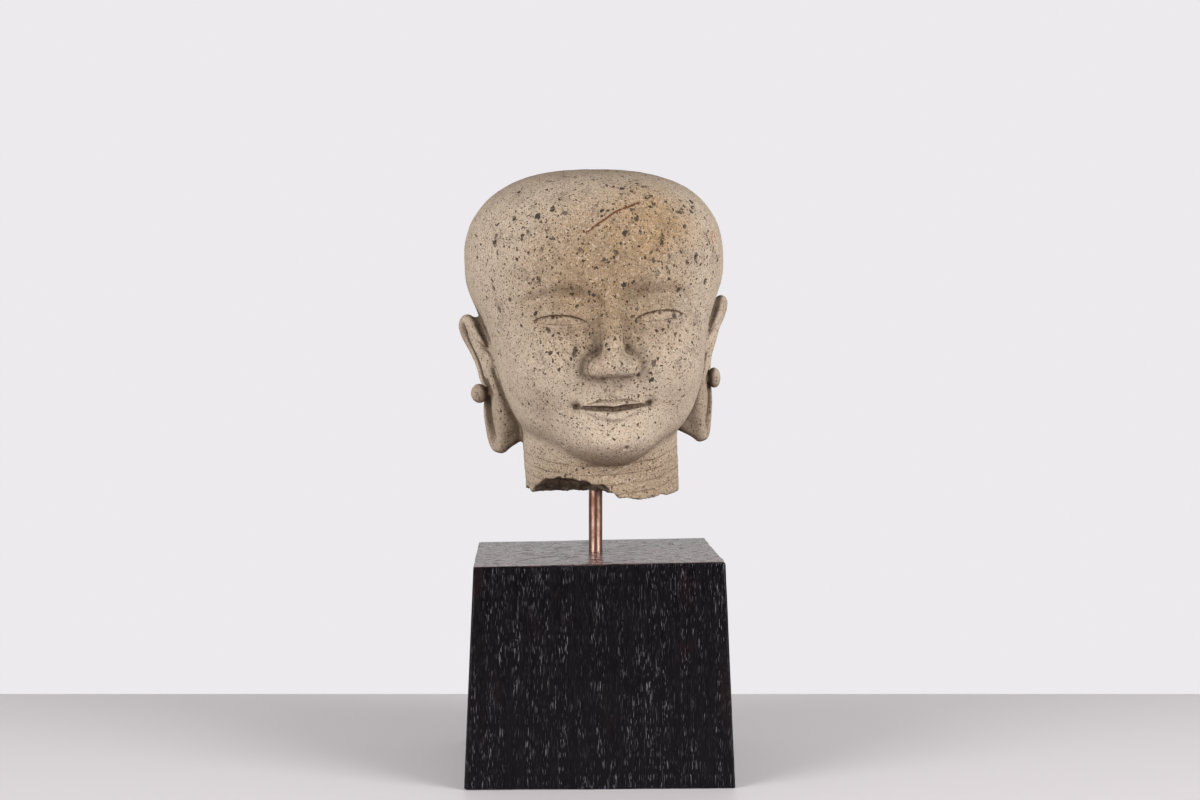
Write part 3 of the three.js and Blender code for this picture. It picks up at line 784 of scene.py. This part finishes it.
class Shader:
    """A material's nodes, made and linked with short calls."""

    def __init__(self, name):
        self.material = bpy.data.materials.new(name)
        self.material.use_nodes = True
        self.tree = self.material.node_tree
        self.surface = self.tree.nodes["Principled BSDF"]

    def feed(self, socket, value):
        if isinstance(value, bpy.types.NodeSocket):
            self.tree.links.new(value, socket)
        else:
            socket.default_value = value

    def node(self, kind, settings=None, **inputs):
        made = self.tree.nodes.new(kind)
        for key, value in (settings or {}).items():
            setattr(made, key, value)
        for key, value in inputs.items():
            self.feed(made.inputs[key.replace("_", " ")], value)
        return made

    def worked_out(self, kind, operation, values):
        """A node that works something out from values, which are fed to its sockets in order."""
        made = self.node(kind, {"operation": operation})
        for socket, value in zip(made.inputs, values):
            self.feed(socket, value)
        return made

    def math(self, operation, *values):
        return self.worked_out("ShaderNodeMath", operation, values).outputs["Value"]

    def plus(self, first, second):
        return self.math("ADD", first, second)

    def times(self, first, second):
        return self.math("MULTIPLY", first, second)

    def times_plus(self, value, factor, added):
        return self.math("MULTIPLY_ADD", value, factor, added)

    def step(self, value, low, high, result_low=0.0, result_high=1.0):
        """Rises smoothly from result_low to result_high while value goes from low to high."""
        made = self.node(
            "ShaderNodeMapRange", {"interpolation_type": "SMOOTHSTEP"}, Value=value,
            From_Min=low, From_Max=high, To_Min=result_low, To_Max=result_high,
        )
        return made.outputs["Result"]

    def millimetres(self, stretch=(1, 1, 1)):
        """The object's coordinates, on which a pattern is drawn out along each axis by stretch."""
        place = self.node("ShaderNodeTexCoord").outputs["Object"]
        scale = [1000 / part for part in stretch]
        return self.node("ShaderNodeMapping", Vector=place, Scale=scale).outputs[0]

    def swerved(self, place, size, detail, reach):
        """The coordinates pushed about by waves of a size, so that what is drawn on them gets ragged."""
        waves_there = self.node("ShaderNodeTexNoise", Vector=place, Scale=1 / size, Detail=detail)
        values = (waves_there.outputs["Color"], (reach, reach, reach), place)
        return self.worked_out("ShaderNodeVectorMath", "MULTIPLY_ADD", values).outputs["Vector"]

    def noise(self, place, size, detail=3.0, roughness=0.55):
        inputs = {"Vector": place, "Scale": 1 / size, "Detail": detail, "Roughness": roughness}
        return self.node("ShaderNodeTexNoise", **inputs).outputs["Fac"]

    def distance(self, place, middle):
        return self.worked_out("ShaderNodeVectorMath", "DISTANCE", (place, middle)).outputs["Value"]

    def facing_up(self):
        """How far the surface faces up, from -1 to 1."""
        normal = self.node("ShaderNodeNewGeometry").outputs["Normal"]
        return self.node("ShaderNodeSeparateXYZ", Vector=normal).outputs["Z"]

    def attribute(self, name):
        return self.node("ShaderNodeAttribute", {"attribute_name": name}).outputs["Fac"]

    def mix(self, share, first, second):
        made = self.node("ShaderNodeMix", {"data_type": "RGBA"})
        self.feed(made.inputs[0], share)
        self.feed(made.inputs[6], first)
        self.feed(made.inputs[7], second)
        return made.outputs[2]

    def bump(self, height, distance, strength):
        made = self.node("ShaderNodeBump", Height=height, Distance=distance, Strength=strength)
        return made.outputs["Normal"]

    def specks(self, place, cell, radii, share):
        """Round grains in the solid: how deep inside a grain each point is, and the grain's own tone."""
        cells = self.node("ShaderNodeTexVoronoi", Vector=place, Scale=1 / cell)
        tone = self.node("ShaderNodeSeparateColor", Color=cells.outputs["Color"]).outputs
        radius = self.step(tone[0], 1 - share, 1, radii[0] / cell, radii[1] / cell)
        there = self.math("GREATER_THAN", tone[0], 1 - share)
        inside = self.math("SUBTRACT", radius, cells.outputs["Distance"])
        return self.times(inside, self.times(there, cell)), tone[1]


def linear(value):
    """The light, from 0 to 1, that a 0 to 255 screen value stands for."""
    share = value / 255
    return ((share + 0.055) / 1.055) ** 2.4 if value > 10 else share / 12.92


def rgb(red, green, blue):
    """A colour from its screen values."""
    return (linear(red), linear(green), linear(blue), 1)


def on_head(place):
    """A place in hundredths of the head's height, in millimetres."""
    return head_matrix @ (Vector(place) * UNIT) * 1000


FACE_MIDDLE = (-1, -46, 12)
STAIN = (17, -37, 31)
RUST = (38, -23, 24)
CROWN = (0, 6, 52)
NECK_FOOT = (0, -10, -66)
NECK_FRONT = (0, -10, -62)
LOBES = ((-37, 2, -34), (37, 2, -34))

CREAM = rgb(184, 168, 150)
TAN = rgb(147, 124, 97)
OCHRE = rgb(158, 124, 80)
CROWN_SHADE_GREY = rgb(142, 124, 107)
NECK_FOOT_SHADE_TAN = rgb(144, 124, 101)
PATCH_TAN = rgb(156, 138, 118)
GRIT_BROWN = rgb(128, 108, 86)
PALE_CREAM = rgb(194, 182, 167)
FLECK_BROWN = rgb(92, 70, 50)
CLAST_DARK = rgb(44, 38, 35)
CLAST_PALE = rgb(108, 92, 80)
CLAST_SPOT = rgb(40, 31, 26)
PIT_DARK = rgb(28, 23, 20)
PIT_BROWN = rgb(76, 60, 50)
RUST_RED = rgb(142, 92, 68)
SCRATCH_BROWN = rgb(92, 52, 31)
NECK_LINE_SHADE_BROWN = rgb(92, 66, 48)
CREVICE_SHADE_BROWN = rgb(66, 49, 35)
LOBE_SHADE_BROWN = rgb(92, 73, 56)
LID_SHADE_BROWN = rgb(76, 54, 38)
UNDERSIDE_SHADE_BROWN = rgb(96, 76, 58)
BREAK_PATINA_SHADE_DARK = rgb(44, 37, 32)
BREAK_PALE = rgb(98, 86, 74)

# Grains of the stone, from the finest up, with sizes in millimetres. The given share of the cells holds a
# grain each, its radius between the two and less on bare ground. It shows over the width of the edge, takes
# up as much of the colour as the cover says, and has a colour between the two tones.
GRAINS = (
    {
        "cell": 1.3, "radii": (0.25, 0.5), "share": 0.8, "less_when_bare": 0.06, "edge": (-0.02, 0.06),
        "cover": 0.8, "tones": (rgb(64, 49, 36), rgb(106, 82, 60)),
    },
    {
        "cell": 2.1, "radii": (0.28, 0.72), "share": 0.85, "less_when_bare": 0.22, "edge": (-0.03, 0.07),
        "cover": 0.9, "tones": (rgb(36, 27, 21), rgb(96, 68, 46)),
    },
    {
        "cell": 4.2, "radii": (0.35, 1.25), "share": 0.7, "less_when_bare": 0.6, "edge": (-0.03, 0.08),
        "cover": 0.92, "tones": (rgb(26, 20, 16), rgb(84, 62, 46)),
    },
)
LARGE_GRAIN = {"cell": 10, "radii": (0.9, 2.3), "share": 0.6, "less_when_bare": 2.2, "edge": (-0.05, 0.2)}


def stone_ground(s, plain, fine, off_middle):
    """Pale cream at the sides, tanner down the middle, with an ochre stain high on one side, and painted
    shade at the crown and at the foot of the neck.
    """
    spread = s.times_plus(s.noise(plain, 20, 4), 50, off_middle)
    ground = s.mix(s.step(spread, 112, 42), CREAM, TAN)
    off_stain = s.times_plus(s.noise(plain, 14, 4), 40, s.distance(plain, on_head(STAIN)))
    ground = s.mix(s.step(off_stain, 66, 26, 0, 0.7), ground, OCHRE)
    # Painted shade: darker and greyer towards the crown
    off_crown = s.distance(plain, on_head(CROWN))
    ground = s.mix(s.step(off_crown, 112, 36, 0, 0.85), ground, CROWN_SHADE_GREY)
    # Painted shade: darker towards the foot of the neck
    off_neck_foot = s.distance(plain, on_head(NECK_FOOT))
    ground = s.mix(s.step(off_neck_foot, 78, 44, 0, 0.8), ground, NECK_FOOT_SHADE_TAN)
    ground = s.mix(s.step(s.noise(plain, 13, 4), 0.46, 0.66, 0, 0.3), ground, PATCH_TAN)
    ground = s.mix(s.step(fine, 0.36, 0.62, 0.45, 0), ground, GRIT_BROWN)
    ground = s.mix(s.step(s.noise(plain, 1.7, 4, 0.65), 0.52, 0.68, 0, 0.6), ground, PALE_CREAM)
    most = s.step(s.distance(plain, on_head(NECK_FRONT)), 84, 50, 0.42, 0.8)
    flecks = s.times(s.step(s.noise(plain, 1.5, 4, 0.7), 0.55, 0.62), most)
    return s.mix(flecks, ground, FLECK_BROWN)


def grain_mask(s, place, bare, kind):
    """Where grains of one kind show, and each grain's own tone."""
    depth, tone = s.specks(place, kind["cell"], kind["radii"], kind["share"])
    return s.step(s.times_plus(bare, -kind["less_when_bare"], depth), *kind["edge"]), tone


def stone_grains(s, plain, off_middle, colour):
    """The colour with grains over it, thickest down the middle of the face, and how deep they sink in."""
    ragged = s.swerved(plain, 1.2, 3.0, 1.1)
    jagged = s.swerved(plain, 2.8, 4.0, 4.2)
    bare = s.step(s.times_plus(off_middle, -0.0044, s.noise(plain, 20, 3)), -0.1, 0.24, 0.6, 0)
    masks = []
    for kind, place in zip(GRAINS, (ragged, ragged, jagged)):
        mask, tone = grain_mask(s, place, bare, kind)
        colour = s.mix(s.times(mask, kind["cover"]), colour, s.mix(tone, *kind["tones"]))
        masks.append(mask)
    large, large_tone = grain_mask(s, jagged, bare, LARGE_GRAIN)
    clast = s.mix(s.step(large_tone, 0.3, 0.75), CLAST_DARK, CLAST_PALE)
    clast = s.mix(s.step(s.noise(plain, 1.1, 3), 0.42, 0.62, 0, 0.75), clast, CLAST_SPOT)
    colour = s.mix(s.times(large, 0.9), colour, clast)
    return colour, s.times_plus(large, 0.7, s.plus(masks[1], masks[2]))


def stone_marks(s, plain, fine, colour):
    """The colour with pits, rust and a scratch over it, painted shade in the neck lines, crevices, lobes,
    lid edges and on faces turned down, and how deep the lines are cut.
    """
    off_pit = s.plus(s.attribute("pit"), s.times_plus(s.noise(plain, 1.1, 2), 0.9, -0.45))
    pit_colour = s.mix(s.noise(plain, 7, 1), PIT_DARK, PIT_BROWN)
    colour = s.mix(s.times(s.step(off_pit, 1.15, 0.75), 0.92), colour, pit_colour)
    rust = s.step(s.distance(plain, on_head(RUST)), 7, 3)
    colour = s.mix(s.times(rust, s.step(s.noise(plain, 2.4, 3), 0.45, 0.6)), colour, RUST_RED)
    scratch = s.step(s.times_plus(fine, 0.15, s.attribute("scratch")), 0.52, 0.3)
    colour = s.mix(s.times(scratch, 0.95), colour, SCRATCH_BROWN)

    uneven = s.times_plus(fine, 0.3, -0.15)
    level = s.plus(s.attribute("neck_level"), uneven)
    lines = 0.0
    for line in NECK_LINES:
        off_line = s.math("ABSOLUTE", s.math("SUBTRACT", level, line))
        lines = s.math("MAXIMUM", lines, s.step(off_line, 0.34, 0.08))
    lines = s.times(lines, s.step(s.noise(plain, 14, 3), 0.36, 0.6, 0.15, 1))
    # Painted shade in the incised neck lines
    colour = s.mix(s.times(lines, 0.5), colour, NECK_LINE_SHADE_BROWN)

    # Painted shade in crevices: darker the more shut in a point is
    crevice_shade = s.step(s.plus(s.attribute("crevice"), uneven), 0.18, 0.78)
    colour = s.mix(s.times(crevice_shade, 0.8), colour, CREVICE_SHADE_BROWN)
    # Painted shade around the lobes and their slots
    for lobe in LOBES:
        lobe_shade = s.step(s.distance(plain, on_head(lobe)), 36, 16, 0, 0.34)
        colour = s.mix(lobe_shade, colour, LOBE_SHADE_BROWN)
    # Painted shade along the carved edges of the lids
    lid = s.step(s.times_plus(fine, 0.3, s.attribute("lid")), 0.5, 0.22)
    colour = s.mix(s.times(lid, 0.85), colour, LID_SHADE_BROWN)
    # Painted shade on surfaces facing down, under the chin, nose and lobes
    under = s.step(s.facing_up(), -0.42, -0.9, 0, 0.52)
    return s.mix(under, colour, UNDERSIDE_SHADE_BROWN), s.plus(lines, scratch)


def stone_material():
    s = Shader("sandstone")
    plain = s.millimetres()
    fine = s.noise(plain, 0.7, 4, 0.7)
    off_middle = s.distance(plain, on_head(FACE_MIDDLE))
    colour = stone_ground(s, plain, fine, off_middle)
    colour, sunk = stone_grains(s, plain, off_middle, colour)
    colour, cut = stone_marks(s, plain, fine, colour)
    broken = s.attribute("broken")
    # The broken faces are dark grey: partly old patina, partly painted shade
    break_colour = s.mix(s.step(s.noise(plain, 3.5, 5, 0.65), 0.36, 0.66), BREAK_PATINA_SHADE_DARK, BREAK_PALE)
    s.feed(s.surface.inputs["Base Color"], s.mix(s.times(broken, 0.85), colour, break_colour))
    s.surface.inputs["Specular IOR Level"].default_value = 0.2
    s.feed(s.surface.inputs["Roughness"], s.step(fine, 0.3, 0.7, 0.82, 0.98))

    # Relief: grains and cut lines sink in, the ground is gritty, and the break is coarser
    grit = s.plus(s.times(fine, 0.8), s.times(s.noise(plain, 3.6, 5, 0.65), 1.3))
    inward = s.plus(s.times(sunk, 0.8), s.times(cut, 1.1))
    rough_break = s.times(broken, s.times(s.noise(plain, 3.2, 5, 0.65), 3))
    height = s.plus(s.math("SUBTRACT", grit, inward), rough_break)
    s.feed(s.surface.inputs["Normal"], s.bump(height, 0.00045, 0.9))
    return s.material


SIDE_BLACK = rgb(6, 5, 7)
SIDE_GREY = rgb(12, 10, 13)
WARM_STREAK = rgb(26, 13, 13)
PORE_GREY = rgb(140, 135, 144)
TOP_SHEEN_BROWN = rgb(100, 71, 69)
TOP_SHEEN_GREY = rgb(88, 70, 73)
TOP_PORE = rgb(16, 11, 11)
NOTCH_SHADE_BLACK = rgb(8, 6, 6)
NOTCH = (-7, -1, 1000 * PLINTH_HEIGHT)  # a dark nick in the top, beside the rod


def wood_material():
    s = Shader("black_wood")
    long_fibre = s.millimetres((1, 1, 34))
    ground = s.mix(s.step(s.noise(long_fibre, 2.6, 4), 0.3, 0.7), SIDE_BLACK, SIDE_GREY)
    warm = s.step(s.noise(s.millimetres((1, 1, 3)), 20, 3), 0.56, 0.74, 0, 0.55)
    ground = s.mix(warm, ground, WARM_STREAK)

    # Pores filled with pale dust, gathered in upright bands
    bands = s.step(s.noise(long_fibre, 5, 4, 0.6), 0.42, 0.64)
    gathered = s.times(bands, s.step(s.noise(s.millimetres((1, 1, 2.4)), 9, 4), 0.36, 0.6, 0.25, 1))
    pores = s.step(s.noise(s.millimetres((1, 1, 32)), 0.34, 1, 0.4), 0.64, 0.69)
    dust = s.times(pores, s.times_plus(gathered, 0.85, 0.04))
    side = s.mix(s.times(dust, 0.85), ground, PORE_GREY)

    # The sawn top shows its pores as short dashes and is a little duller; its lighter brown and grey is a
    # painted sheen, the pale room mirrored at a low angle
    upward = s.step(s.facing_up(), 0.6, 0.9)
    dashes = s.step(s.noise(s.millimetres((2.6, 1, 1)), 2.6, 5, 0.62), 0.5, 0.62)
    patches = s.step(s.noise(s.millimetres((2, 1, 1)), 9, 4), 0.36, 0.64)
    top = s.mix(s.times(dashes, 0.85), s.mix(patches, TOP_SHEEN_BROWN, TOP_SHEEN_GREY), TOP_PORE)
    # Painted shade of a small nick beside the rod; no dent is cut
    top = s.mix(s.step(s.distance(s.millimetres(), NOTCH), 3.4, 2.2), top, NOTCH_SHADE_BLACK)

    s.feed(s.surface.inputs["Base Color"], s.mix(upward, side, top))
    rubbed = s.step(s.noise(s.millimetres((1, 1, 12)), 1.1, 3), 0.3, 0.7, 0.26, 0.38)
    duller = s.times(upward, s.times_plus(dashes, 0.2, -0.1))
    s.feed(s.surface.inputs["Roughness"], s.plus(rubbed, duller))
    s.surface.inputs["Specular IOR Level"].default_value = 0.13
    hollows = s.mix(upward, pores, s.times(dashes, 0.2))
    grain = s.math("SUBTRACT", s.noise(long_fibre, 1.3, 4), s.times(hollows, 0.7))
    s.feed(s.surface.inputs["Normal"], s.bump(grain, 0.00025, 0.7))
    return s.material


COPPER = rgb(160, 130, 118)
TARNISH = rgb(118, 86, 70)
DRAWN_DARK = rgb(112, 78, 66)


def copper_material():
    s = Shader("copper")
    drawn = s.noise(s.millimetres((1, 1, 40)), 0.7, 3)
    marks = s.noise(s.millimetres((1, 1, 5)), 2.2, 4, 0.6)
    tarnished = s.step(s.noise(s.millimetres((1, 1, 2)), 6, 4, 0.6), 0.4, 0.66)
    colour = s.mix(tarnished, COPPER, TARNISH)
    colour = s.mix(s.step(drawn, 0.35, 0.65, 0, 0.35), colour, DRAWN_DARK)
    s.feed(s.surface.inputs["Base Color"], colour)
    s.surface.inputs["Metallic"].default_value = 1
    rough = s.times_plus(tarnished, 0.1, s.step(marks, 0.3, 0.7, 0.3, 0.38))
    s.feed(s.surface.inputs["Roughness"], rough)
    s.feed(s.surface.inputs["Normal"], s.bump(s.plus(drawn, marks), 0.00001, 0.3))
    return s.material


FLOOR_GREY = rgb(215, 209, 211)
FLOOR_PALE = rgb(217, 211, 213)


def floor_material():
    """Plain pale grey with a faint sheen."""
    s = Shader("floor")
    uneven = s.noise(s.node("ShaderNodeTexCoord").outputs["Object"], 0.2, 2)
    s.feed(s.surface.inputs["Base Color"], s.mix(uneven, FLOOR_GREY, FLOOR_PALE))
    s.feed(s.surface.inputs["Roughness"], s.step(uneven, 0.3, 0.7, 0.42, 0.45))
    s.surface.inputs["Specular IOR Level"].default_value = 0.25
    return s.material


# The studio

FLOOR_FRONT = -0.9
FLOOR_BACK = 0.295
FLOOR_SIDE = 1.2
BACKDROP = rgb(236, 234, 237)


def make_floor():
    corners = [(x, y, 0) for x in (-FLOOR_SIDE, FLOOR_SIDE) for y in (FLOOR_FRONT, FLOOR_BACK)]
    floor = mesh_object("floor", corners, [(0, 2, 3, 1)])
    floor.rotation_euler = (0, 0, -CAMERA_YAW)
    floor.data.materials.append(floor_material())


# Soft lights, in metres and watts
LIGHTS = {
    "left": {"place": (-1.5, -1.35, 0.75), "aim": (0, 0, 0.3), "size": (1.2, 1.4), "power": 43},
    "right": {"place": (1.5, -1.35, 0.75), "aim": (0, 0, 0.3), "size": (1.2, 1.4), "power": 50},
    "top": {"place": (0, -0.3, 1.9), "aim": (0, 0, 0.2), "size": (1.6, 1.2), "power": 4},
}


def soft_light(name, place, aim, size, power):
    data = bpy.data.lights.new(name, "AREA")
    data.shape = "RECTANGLE"
    data.size, data.size_y = size
    data.energy = power
    light = bpy.data.objects.new(name, data)
    light.location = place
    light.rotation_euler = (Vector(aim) - Vector(place)).to_track_quat("-Z", "Y").to_euler()
    bpy.context.scene.collection.objects.link(light)


# Strength of the room's light by direction along Y, and the share of it that stays by direction along Z
ROOM_LIGHT = ((-1, 0.06), (-0.94, 0.08), (-0.72, 0.42), (0.7, 0.42), (0.97, 0.9))
HEIGHT_SHARE = ((-1, 0.15), (-0.2, 0.3), (0, 1), (0.3, 1), (0.95, 0.5))


def make_world():
    """A pale room, plain to look at, that gives less light from the front, from below and from above."""
    world = bpy.data.worlds.new("studio")
    world.use_nodes = True
    tree = world.node_tree
    room = tree.nodes["Background"]
    seen = tree.nodes.new("ShaderNodeBackground")
    seen.inputs["Color"].default_value = BACKDROP
    direction = tree.nodes.new("ShaderNodeTexCoord")
    split = tree.nodes.new("ShaderNodeSeparateXYZ")
    tree.links.new(direction.outputs["Generated"], split.inputs[0])

    def by_direction(axis, stops):
        half = tree.nodes.new("ShaderNodeMath")
        half.operation = "MULTIPLY_ADD"
        half.inputs[1].default_value = 0.5
        half.inputs[2].default_value = 0.5
        tree.links.new(split.outputs[axis], half.inputs[0])
        shade = tree.nodes.new("ShaderNodeValToRGB")
        for _ in stops[2:]:
            shade.color_ramp.elements.new(0.5)
        for element, (along, strength) in zip(shade.color_ramp.elements, stops):
            element.position = (along + 1) / 2
            element.color = (strength, strength, strength, 1)
        tree.links.new(half.outputs[0], shade.inputs[0])
        return shade.outputs["Color"]

    tree.links.new(by_direction("Y", ROOM_LIGHT), room.inputs["Color"])
    tree.links.new(by_direction("Z", HEIGHT_SHARE), room.inputs["Strength"])
    light_path = tree.nodes.new("ShaderNodeLightPath")
    choice = tree.nodes.new("ShaderNodeMixShader")
    tree.links.new(light_path.outputs["Is Camera Ray"], choice.inputs[0])
    tree.links.new(room.outputs[0], choice.inputs[1])
    tree.links.new(seen.outputs[0], choice.inputs[2])
    tree.links.new(choice.outputs[0], tree.nodes["World Output"].inputs["Surface"])
    bpy.context.scene.world = world


make_camera()
make_world()
make_floor()
for light_name, light in LIGHTS.items():
    soft_light(light_name, **light)
bpy.context.scene.view_settings.view_transform = "Standard"

make_head().data.materials.append(stone_material())
make_rod().data.materials.append(copper_material())
make_plinth().data.materials.append(wood_material())
